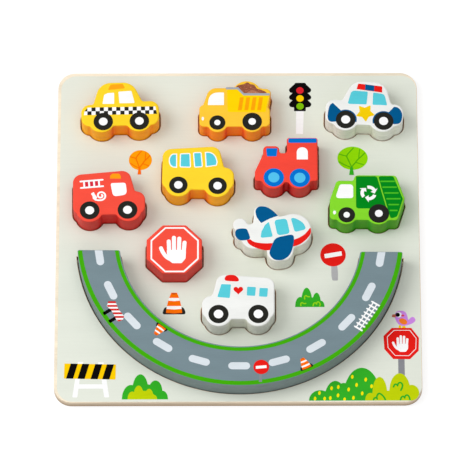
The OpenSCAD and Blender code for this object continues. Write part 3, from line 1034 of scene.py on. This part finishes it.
def open_hand(art, cx, cy, size, layer):
    """An open hand, palm forward; size is its height, and it is drawn 26 high."""
    palm = [(-8.2, -2.5), (-7.4, -9.5), (-3.4, -13.0), (4.4, -13.0), (7.8, -8.6), (8.2, -0.5), (-8.2, -0.5)]
    fingers = (((-6.2, -2.0), (-6.6, 7.6)), ((-2.1, -2.0), (-2.2, 11.0)), ((2.1, -2.0), (2.4, 10.2)),
               ((6.2, -2.0), (6.9, 6.4)))
    thumb = spline([(-4.0, -10.0), (-8.6, -7.0), (-11.6, -2.6), (-13.2, 1.2)], False)
    groups = ([rounded(palm, 2.0)], [stroke(finger, 3.5) for finger in fingers], [stroke(thumb, 3.4)])
    for rise, shapes in enumerate(groups):
        for shape in shapes:
            art.add("white", moved(scaled(shape, size / 26), cx, cy), layer + rise)


def draw_stop_sign(art):
    art.patch("white", octagon(0.35, -0.65, 39.5, 40.7, 11.8), 0.8)
    art.patch("red", octagon(0.3, -0.65, 36.9, 38.0, 11.1), 0.5, 1)
    open_hand(art, 1.8, -0.4, 25.0, 2)


def draw_airplane(art):
    far_wing = [(-9.1, 9.0), (-12.6, 14.5), (-13.6, 20.5), (-10.9, 23.9), (-5.4, 23.9), (0.1, 20.6),
                (4.8, 15.7)]
    art.add("navy", spline(far_wing, False) + [(-2.0, 13.1)])
    rear_window = [(-9.7, -4.5), (-8.8, 1.4), (-5.9, 7.2), (-2.8, 10.3), (0.5, -3.3)]
    art.patch("cyan", rear_window, [1.6, 3.0, 3.0, 1.2, 1.6])
    art.patch("cyan", [(1.6, 11.7), (11.9, 13.2), (14.6, -0.5), (4.3, -2.3)], 3.0)
    front_window = [(15.5, 12.8), (17.5, 13.6), (21.3, 12.1), (25.3, 9.0), (27.4, 4.8), (26.2, 2.9)]
    art.add("cyan", spline(front_window, False) + bend((20.6, 1.3), (18.4, 0.7), (17.9, 3.0)))
    upper = [(-18.3, -5.6), (-13.7, -8.4), (-4.0, -9.4), (8.0, -8.2), (18.0, -6.0), (26.0, -1.7),
             (30.9, 4.3)]
    lower = [(31.7, 4.4), (31.3, -1.2), (25.5, -8.2), (17.5, -12.2), (-1.9, -15.5), (-10.1, -14.6),
             (-18.3, -10.7), (-21.0, -6.4)]
    art.add("signal_red", spline(upper, False) + spline(lower, False))
    near_wing = [(3.0, -5.0), (10.5, -2.5), (16.0, -1.7), (17.8, -4.2), (17.3, -11.0), (14.3, -19.6),
                 (8.5, -24.2), (1.6, -23.9), (-2.2, -18.8), (-0.5, -11.7)]
    art.blob("navy", near_wing, 1)
    tailplane = [(-29.9, 2.3), (-26.6, 4.0), (-21.5, 3.7), (-19.7, 0.6), (-18.4, -4.8), (-22.0, -6.5),
                 (-27.3, -6.1), (-30.3, -2.2)]
    art.blob("navy", tailplane, 1)


def draw_ambulance(art):
    dome = [(-11.2, 18.8), (-10.7, 20.8), (-9.1, 22.2), (-6.0, 22.7), (-2.8, 22.2), (-0.5, 20.3),
            (0.5, 18.2), (-0.6, 16.8), (-5.5, 16.9), (-9.8, 17.4)]
    art.blob("signal_red", dome)
    art.patch("cyan", [(-17.2, 2.8), (-13.8, 14.4), (-6.0, 14.0), (-7.0, 1.8)], 0.8)
    art.patch("cyan", [(7.3, 12.0), (14.4, 11.6), (13.7, 3.7), (6.9, 4.1)], 0.9)
    art.patch("cyan", [(17.4, 10.9), (24.3, 10.6), (23.6, 2.8), (16.9, 3.2)], 0.9)
    art.add("signal_red", heart(0.0, 8.9, 7.8))
    art.wheel(-16.2, -12.5, 8.2, 3.85)
    art.wheel(16.3, -12.5, 8.2, 3.85)


def traffic_cone(height, half_base):
    """Parts of a striped cone on a dark foot, as ink and outline, with its base middle at the origin."""
    wide, top, swell = 0.67 * half_base, 0.23 * half_base, 0.08 * half_base
    lift, dip, steps = 0.065 * height, 0.03, 8

    def side(share):
        half = wide + (top - wide) * share + 4 * swell * share * (1 - share)
        return half, lift + (height - lift) * share

    def band(low, high):
        right = [side(low + (high - low) * k / steps) for k in range(steps + 1)]
        sag = (0, 2 * side(low)[1] - side(low + dip)[1])
        return right + [(-x, y) for x, y in reversed(right)] + [sag]

    foot_top, foot_h = 0.8 * half_base, 0.34 * height
    foot = [(-half_base, 0), (half_base, 0), (foot_top, foot_h), (-foot_top, foot_h)]
    radii = [share * half_base for share in (0.2, 0.2, 0.35, 0.35)]
    parts = [("black", rounded(foot, radii)), ("deep_orange", band(0, 1))]
    parts += [("white", band(0.197, 0.338)), ("white", band(0.608, 0.736))]
    return parts + [("cone_tip", ellipse(0, 0.95 * height, 0.9 * top, 0.035 * height))]


def road_spot(points, angle, radius, top_inward=True):
    """Points drawn upright, set on the road at an angle from its front; their top faces in or out."""
    turn = angle if top_inward else angle + 180
    return moved(turned(points, turn), *polar(0, 0, radius, angle - 90))


def road_lines(art):
    """The green verges and the pale centre dashes, cut off where the road ends."""
    ahead = Vector(polar(0, 0, 1, ROAD_FRONT))
    near_end = ahead * (ROAD_END_DROP + ROAD_EDGE_R)
    end_line = (near_end, near_end + Vector((ahead.y, -ahead.x)))
    right_corner, _, right_start, _ = road_end(1)
    left_corner, _, left_start, _ = road_end(-1)
    drop = ahead * ROAD_CORNER_R
    lines = [end_line, (right_corner + drop, right_start), (left_start, left_corner + drop)]
    inner = ROAD_INNER_R + INNER_VERGE[1]
    outer = ROAD_OUTER_R - OUTER_VERGE[1]
    for low, high in ((inner, inner + INNER_VERGE[0]), (outer - OUTER_VERGE[0], outer)):
        verge = ring_part(0, 0, low, high, ROAD_FRONT - 90, ROAD_FRONT + 90, steps=120)
        art.add("verge_green", cut(verge, lines))
    half = (DASH_L - DASH_W) / 2
    dash = stroke([(-half, 0), (half, 0)], DASH_W)
    middle = (ROAD_INNER_R + ROAD_OUTER_R) / 2
    for k in range(-SIDE_DASHES, SIDE_DASHES + 1):
        art.add("dash_white", cut(road_spot(dash, DASH_SHIFT + k * DASH_PITCH, middle), [end_line]))


def edge_x(side, y):
    """The x at a height on a line of points that runs downwards."""
    for (x0, y0), (x1, y1) in zip(side, side[1:]):
        if y >= y1:
            return x0 + (x1 - x0) * (y0 - y) / (y0 - y1)


def road_barrier(art, angle, radius):
    """A slanting bar with level stripes, on two dark legs."""
    left = [(-6.1, 9.1), (-7.3, 4.8), (-3.6, 1.1), (-1.5, -3.0), (0.9, -8.0), (2.5, -9.1)]
    right = [(-0.3, 9.1), (0.9, 5.7), (2.0, 2.5), (7.1, -4.5), (5.9, -7.5), (2.6, -9.1)]
    middle = road_spot([(0.0, 0.2)], angle, radius)[0]
    leg_w, leg_l = 2.9, 9.4
    for x in (-3.7, 4.8):
        art.add("jet", road_spot(rectangle(x - leg_w / 2, -leg_l, x + leg_w / 2, 0), angle, radius))
    art.add("white", moved(left + list(reversed(right)), *middle), 1)
    stripe_t, pitch = 1.75, 3.3
    for k in range(6):
        top = left[0][1] - k * pitch
        low = max(top - stripe_t, left[-1][1])
        corners = ((left, top), (left, low), (right, low), (right, top))
        art.add("barrier_red", moved([(edge_x(side, y), y) for side, y in corners], *middle), 2)


def road_fence(art, angle, radius):
    """A picket fence with two rails, turned a little against the road."""
    pickets, pitch, slant = 8, 3.76, 2.2
    height, point_h, picket_w, rail_w = 8.5, 1.3, 1.5, 1.0
    half = pitch * (pickets - 1) / 2

    def fence(points):
        return road_spot(turned(points, slant), angle, radius)

    for y in (-1.6, 1.8):
        art.add("white", fence(rectangle(-half, y - rail_w / 2, half, y + rail_w / 2)))
    x, y = picket_w / 2, height / 2
    picket = [(-x, -y), (x, -y), (x, y - point_h), (0, y), (-x, y - point_h)]
    for k in range(pickets):
        art.add("white", fence(moved(picket, k * pitch - half, 0)), 1)


def draw_road(art):
    road_lines(art)
    road_barrier(art, -56.1, 122.7)
    road_fence(art, 54.8, 126.1)
    cones = ((9.9, 5.8, -37.9, 103.0, False), (10.3, 5.9, 24.4, 131.4, True))
    for height, half_base, angle, radius, top_inward in cones:
        for layer, (ink, shape) in enumerate(traffic_cone(height, half_base)):
            art.add(ink, road_spot(shape, angle, radius, top_inward), layer + 1)
    sign = (16.9, -118.0)
    art.add("road_post", moved(rectangle(-1.95, -13.2, 0.55, 0), *sign), 1)
    art.add("signal_red", disc(*sign, 6.35), 2)
    art.add("white", moved([(-4.4, -1.7), (4.4, -0.9), (4.2, 1.5), (-4.4, 0.8)], *sign), 3)


# Printed scenery on the tray


def draw_tree(art, rx, ry, crown, twig, trunk_ink, trunk_w):
    """A round tree with forked branches over its crown."""
    art.add(crown, ellipse(0, 0, rx, ry))
    limbs = [
        [(-0.08, -0.74), (-0.28, -0.15), (-0.38, 0.15), (-0.3, 0.37), (-0.1, 0.66), (0.07, 0.89)],
        [(-0.05, -0.72), (0.15, -0.42), (0.35, -0.11), (0.59, 0.17), (0.81, 0.45)],
        [(0.41, 0.0), (0.43, 0.35), (0.47, 0.74)],
        [(0.22, -0.37), (0.42, -0.45), (0.7, -0.55)],
        [(-0.1, -0.8), (-0.5, -0.58), (-0.89, -0.31)],
        [(-0.38, 0.18), (-0.62, 0.25), (-0.88, 0.36)],
    ]
    main_limbs, limb_w, twig_w = 2, 1.0, 0.75
    for number, limb in enumerate(limbs):
        width = limb_w if number < main_limbs else twig_w
        art.add(twig, stroke(spline(scaled(limb, rx, ry), False), width), 1 + number)
    foot, fork, tip = -1.44 * ry, -0.86 * ry, -0.66 * ry
    trunk = [(-0.6 * trunk_w, foot), (0.4 * trunk_w, foot), (0.2 * trunk_w, fork), (0, tip),
             (-0.35 * trunk_w, fork)]
    art.patch(trunk_ink, moved(trunk, -0.05 * rx, 0), [0.5, 0.5, 0.5, 0.2, 0.5], 1 + len(limbs))


def draw_traffic_light(art):
    art.add("pure_white", [(-3.7, -34.0), (2.2, -34.0), (3.0, -12.0), (-3.4, -12.0)])
    case = [(-5.2, -12.8), (4.6, -12.8), (5.2, 13.7), (-4.8, 13.7)]
    art.patch("jet", case, [0.6, 0.6, 2.0, 2.0], 1)
    visor = [(3.6, 4.9), (5.4, 4.3), (7.5, 2.2), (8.9, 0.6), (9.2, -0.9), (8.2, -2.6), (6.4, -3.1),
             (3.6, -2.6)]
    first, pitch = 7.4, 6.7
    for row, (y, ink) in enumerate(((6.5, "lamp_red"), (-1.0, "lamp_yellow"), (-8.3, "lamp_green"))):
        for side in (-1, 1):
            art.blob("jet", moved(scaled(visor, side, 1), 0, first - row * pitch), 2 + row)
        art.add(ink, disc(-0.1, y, 3.1), 5)


def draw_round_sign(art):
    post = [(-1.6, -9.0), (-1.5, -19.2), (-0.8, -23.3), (3.8, -23.3), (3.9, -16.4), (3.2, -9.0)]
    art.patch("pale_post", post, [0.5, 3.0, 1.2, 1.0, 3.0, 0.5])
    art.add("signal_red", disc(0, 0, 10.5), 1)
    art.patch("pure_white", [(-6.6, -3.2), (7.4, -0.7), (6.9, 3.2), (-7.3, 0.6)], 0.4, 2)


def draw_cone(art):
    for layer, (ink, shape) in enumerate(traffic_cone(19.5, 9.9)):
        art.add(ink, shape, layer)


def draw_small_bush(art):
    lobes = [(4.2, 9.0, 4.2, 9.0), (9.6, 17.3, 4.5, 13.5), (17.7, 12.8, 3.3, 8.0), (21.6, 5.5, 2.6, 5.5),
             (14.0, 8.6, 7.0, 8.6)]
    art.add("bush_green", hedge(0, 24.1, lobes))
    curls = [
        [(7.9, 7.2), (8.0, 9.3), (8.9, 10.2), (10.2, 9.4), (11.8, 9.2)],
        [(4.8, 1.2), (4.8, 3.0), (5.8, 3.9), (6.9, 3.1), (8.8, 3.1)],
        [(14.8, 0.9), (15.3, 2.9), (16.5, 3.8), (17.7, 2.5)],
        [(17.5, 2.9), (18.5, 4.5), (19.9, 4.1), (20.6, 2.2), (20.2, 0.8)],
    ]
    art.curls("leaf_curl", curls, 1.1, 1)


def draw_barricade(art):
    width, height, slope = 42.0, 13.3, -1.35
    for foot, knee in (((6.7, 10.8), (9.0, 12.7)), ((32.7, 36.8), (30.2, 34.2))):
        leg = [(foot[0], -30.1), (foot[1], -30.1), (knee[1], -height), (knee[0], -height)]
        art.patch("pure_white", leg, 1.0)
    art.add("pure_white", rectangle(9.5, -22.3, 33.0, -18.5), 1)
    for left, right in ((10.9, 15.2), (27.4, 32.0)):
        art.add("pure_white", turned(rectangle(left, -0.8, right, 1.7), slope))
    art.add("barrier_yellow", turned(rounded(rectangle(0, -height, width, 0), 0.4), slope), 2)
    for x in (1.7, 11.1, 21.7, 31.2):
        art.add("jet", turned(slanted(x, 5.8, 3.4, -height, 0), slope), 3)


def draw_front_bush(art):
    lobes = [(7.4, 12.8, 7.4, 12.8), (15.0, 22.2, 6.4, 14.0), (21.0, 13.2, 9.0, 13.2),
             (27.3, 16.7, 5.6, 9.5), (33.0, 7.6, 4.6, 7.6)]
    art.add("bush_green", hedge(0, 37.6, lobes))
    inner = [(8.4, 6.9, 3.8, 6.9), (13.6, 12.2, 3.9, 8.5), (18.5, 7.5, 9.0, 7.5), (22.2, 9.3, 3.3, 6.5),
             (25.6, 4.1, 3.2, 4.1)]
    art.add("bush_lime", hedge(4.6, 28.8, inner), 1)


def draw_corner_bushes(art):
    lobes = [(9.2, 9.2, 9.2, 9.2), (21.6, 17.4, 9.2, 17.4), (28.5, 15.6, 8.0, 15.6),
             (43.2, 29.0, 15.5, 28.3)]
    art.add("bush_green", hedge(0, 58.7, lobes))
    dots = ((4.9, 1.7), (8.5, 6.7), (12.7, 1.7), (17.3, 2.2), (18.4, 10.9), (23.9, 12.0), (23.6, 4.6),
            (28.9, 1.0), (32.3, 9.8), (35.4, 21.0), (38.8, 13.8), (36.1, 2.4), (43.3, 6.3), (46.3, 18.5),
            (51.0, 12.6))
    ground = ((0, 0), (1, 0))
    for x, y in dots:
        art.add("dot_yellow", cut(ellipse(x, y, 1.05, 1.75, -6), [ground]), 1)
    lime = [(50.0, 6.7, 4.4, 6.7), (57.6, 20.8, 5.9, 14.0), (66.0, 8.7, 12.0, 8.7), (74.0, 24.0, 8.5, 16.0),
            (80.0, 10.0, 9.0, 10.0)]
    art.add("bush_lime", hedge(45.6, 83.6, lime), 2)
    art.add("bush_lime", ellipse(83.6, 6.9, 6.0, 6.8), 3)
    curls = [
        [(52.4, 0.7), (53.2, 2.1), (54.5, 2.4), (55.5, 1.3)],
        [(55.0, 2.0), (55.5, 4.6), (57.0, 6.2), (59.4, 4.8), (61.2, 2.5), (62.0, 0.7)],
        [(68.9, 12.0), (69.7, 13.9), (71.1, 14.3), (72.2, 13.0)],
        [(72.1, 13.4), (73.1, 15.3), (74.8, 15.7), (76.1, 13.9), (75.9, 11.6), (74.8, 9.0)],
        [(74.4, 0.7), (75.2, 2.8), (76.6, 3.6), (77.8, 2.2)],
        [(77.7, 2.6), (78.6, 4.3), (80.1, 4.6), (81.4, 3.1), (82.0, 0.7)],
    ]
    art.curls("bush_green", curls, 1.35, 4)


def draw_octagon_sign(art):
    art.add("post_grey", rectangle(-2.7, -29.5, 2.5, -13.0))
    plate = [(-14.4, 6.7), (-7.5, 13.9), (8.4, 13.9), (14.6, 5.1), (14.1, -6.5), (7.0, -14.0),
             (-6.7, -13.8), (-13.8, -5.0)]
    art.patch("signal_red", plate, 0.4, 1)
    for layer, (ink, share) in enumerate((("white", 0.83), ("signal_red", 0.795))):
        art.patch(ink, moved(scaled(plate, share), 0.4, 0.45), 0.4, 2 + layer)
    open_hand(art, 1.0, 0, 15.0, 4)


def draw_bird(art):
    art.add("lamp_yellow", ellipse(-1.5, -7.7, 1.1, 1.6))
    art.add("lamp_yellow", ellipse(1.7, -8.0, 1.5, 1.2))
    outline = [(-0.5, 6.7), (-3.2, 6.3), (-5.1, 4.2), (-5.5, 1.3), (-4.8, -1.6), (-3.4, -4.4), (-1.4, -6.2),
               (1.0, -6.8), (4.0, -6.4), (7.5, -5.2), (10.3, -3.4), (11.3, -1.6), (10.5, 0.3), (9.1, 1.2),
               (7.6, 0.7), (6.1, -1.1), (5.3, -1.2), (5.0, 0.6), (4.4, 2.8), (3.3, 5.2), (1.5, 6.5)]
    art.blob("lilac", outline, 1)
    art.patch("beak", [(-4.6, 3.7), (-7.7, 3.3), (-8.0, 1.2), (-4.8, 0.6)], 0.6, 2)
    art.add("wing_orange", ellipse(1.2, -2.9, 3.6, 2.5, -30), 2)
    art.add("white", disc(-2.3, 3.1, 2.4), 2)
    art.add("jet", disc(-3.2, 3.1, 1.8), 3)
    art.add("pink", ellipse(1.0, 2.4, 1.3, 0.9), 2)


# Stage


def add_camera():
    """The camera at the fitted viewing angle."""
    data = bpy.data.cameras.new("camera")
    data.lens = CAMERA_LENS
    data.sensor_width = CAMERA_SENSOR
    tilt = math.radians(CAMERA_ELEVATION)
    yaw = math.radians(CAMERA_YAW)
    forward = Vector((math.sin(yaw) * math.cos(tilt), math.cos(yaw) * math.cos(tilt), -math.sin(tilt)))
    right = Vector((math.cos(yaw), -math.sin(yaw), 0))
    axes = Matrix((right, right.cross(forward), -forward)).transposed().to_4x4()
    place = Matrix.Translation((Vector(CAMERA_TARGET) - forward * CAMERA_DISTANCE) * MM)
    camera = add_object("camera", data)
    camera.matrix_world = place @ axes @ Matrix.Rotation(math.radians(CAMERA_ROLL), 4, "Z")
    bpy.context.scene.camera = camera


def add_lamp(name, place, size, power):
    """A soft square lamp aimed at the board."""
    data = bpy.data.lights.new(name, "AREA")
    data.size = size
    data.energy = power
    lamp = add_object(name, data)
    lamp.location = place
    lamp.rotation_euler = (-Vector(place)).to_track_quat("-Z", "Y").to_euler()


def seen_directly(tree):
    """1 where a ray comes straight from the camera or through gloss or glass, otherwise 0."""
    total = tree.add("LightPath", {}, "Is Camera Ray")
    path = total.node
    for name in ("Is Glossy Ray", "Is Transmission Ray"):
        total = tree.add("Math", {0: total, 1: path.outputs[name]}, operation="MAXIMUM")
    return total


def add_world():
    """White surroundings that light the object softly."""
    tree = Tree(bpy.data.worlds.new("studio"))
    level = tree.add("MapRange", {"Value": seen_directly(tree), "To Min": AMBIENT, "To Max": 1.0})
    tree.feed(tree.nodes["Background"], {"Color": grey(1.0), "Strength": level})
    bpy.context.scene.world = tree.owner


def floor_finish():
    """White paper: even white to the eye with the object's soft shadow on it, and a plain bounce."""
    tree = new_tree("floor_paper")
    tree.nodes.remove(tree.nodes["Principled BSDF"])
    paper = tree.add("BsdfDiffuse", {"Color": grey(FLOOR_DIFFUSE)})
    glow = tree.add("Emission", {"Color": grey(FLOOR_GLOW)})
    seen = tree.add("AddShader", {0: paper, 1: glow})
    bounce = tree.add("BsdfDiffuse", {"Color": grey(FLOOR_BOUNCE)})
    choice = tree.add("MixShader", {"Fac": seen_directly(tree), 1: bounce, 2: seen})
    tree.feed(tree.nodes["Material Output"], {"Surface": choice})
    return tree.owner


def add_floor():
    """A wide plain floor just under the board."""
    mesh = bmesh.new()
    half = FLOOR_SIZE / 2
    mesh.faces.new([mesh.verts.new((x, y, -FLOOR_DROP)) for x, y in rectangle(-half, -half, half, half)])
    floor = mesh_object("floor", mesh, [floor_finish()])


# Node, ink of the top, slot and print of each block
BLOCKS = [
    ("taxi", "taxi_yellow", "yellow", draw_taxi),
    ("dump_truck", "amber", "amber", draw_dump_truck),
    ("police_car", "white_wood", "white", draw_police_car),
    ("fire_engine", "red", "red", draw_fire_engine),
    ("school_bus", "bus_yellow", "yellow", draw_school_bus),
    ("steam_train", "train_red", "red", draw_steam_train),
    ("recycling_truck", "lime_green", "green", draw_recycling_truck),
    ("stop_sign", "red", "red", draw_stop_sign),
    ("airplane", "white_wood", "white", draw_airplane),
    ("ambulance", "white_wood", "white", draw_ambulance),
]

# Name, place on the board and drawing of each print on the tray, with the drawing's own sizes and inks
SCENERY = [
    ("orange_tree", (-80.9, 69.0), draw_tree, 9.6, 9.2, "tree_orange", "orange_twig", "deep_orange", 3.1),
    ("green_tree", (95.5, 70.4), draw_tree, 12.65, 10.75, "tree_green", "green_twig", "trunk_green", 4.0),
    ("traffic_light", (52.3, 127.0), draw_traffic_light),
    ("round_sign", (78.4, -18.1), draw_round_sign),
    ("cone", (-52.4, -71.6), draw_cone),
    ("small_bush", (46.8, -65.2), draw_small_bush),
    ("barricade", (-141.6, -115.4), draw_barricade),
    ("front_bush", (-94.6, -147.3), draw_front_bush),
    ("corner_bushes", (57.6, -148.7), draw_corner_bushes),
    ("octagon_sign", (133.3, -98.1), draw_octagon_sign),
    ("bird", (134.0, -75.5), draw_bird),
]


add_camera()

make_backing()
make_tray()
for node, ink, slot, draw in BLOCKS:
    make_block(node, ink, slot)
make_block("road_arch", "road_grey", "road_grey", road_loop(), ROAD_EDGE_R)

for node, ink, slot, draw in BLOCKS:
    low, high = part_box(node)
    middle = ((low.x + high.x) / 2 / MM, (low.y + high.y) / 2 / MM)
    make_print(node, node, slot, middle, high.z / MM, draw)
make_print("road_arch", "road_arch", "road_grey", ROAD_CENTRE, heights("road_arch")[1], draw_road)
for name, place, draw, *details in SCENERY:
    make_print(name, "board", "tray_face", place, heights("tray_panel")[1], draw, *details)

for name, setting in LAMPS.items():
    add_lamp(name, *setting)
add_world()
add_floor()
bpy.context.scene.view_settings.view_transform = "Standard"
